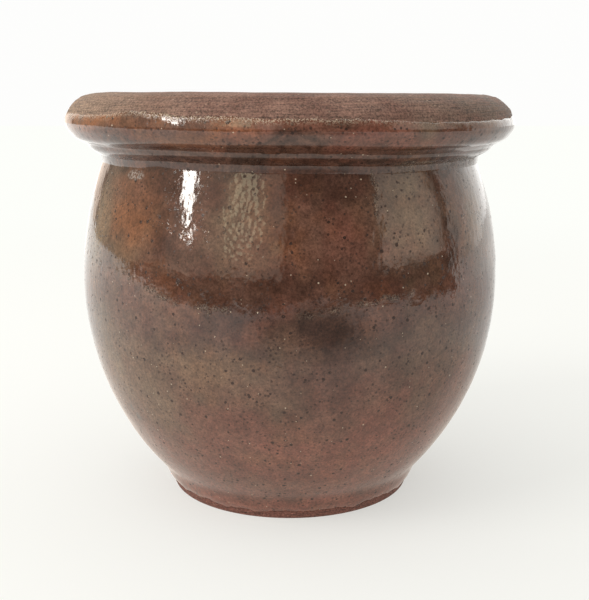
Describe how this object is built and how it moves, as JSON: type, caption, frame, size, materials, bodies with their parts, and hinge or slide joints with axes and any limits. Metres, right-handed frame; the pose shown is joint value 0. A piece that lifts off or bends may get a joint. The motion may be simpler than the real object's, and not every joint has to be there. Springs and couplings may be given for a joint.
{
  "type": "butter crock",
  "caption": "Round thrown stoneware crock with a heavy rolled rim, a full belly, a small foot and a glossy speckled red-brown glaze, for keeping butter.",
  "frame": {"origin": "centre of the foot, on the plane the crock stands on", "axes": "+Z is the crock's axis, up out of the mouth; +X is to the right as seen from the front, and the front faces -Y"},
  "size_m": [0.1536, 0.1536, 0.14],
  "materials": {
    "bare_clay": "unglazed fired stoneware, wiped, matte, with fine iron specks",
    "outside_glaze": "glossy red-brown glaze, olive and orange where it runs thin, with dark iron spots and pinholes",
    "inside_glaze": "glossy red-brown glaze over throwing rings"
  },
  "bodies": {
    "root": {"crock_body": "bare_clay", "rolled_rim": "bare_clay", "outside_glaze": "outside_glaze", "inside_glaze": "inside_glaze"}
  },
  "joints": []
}
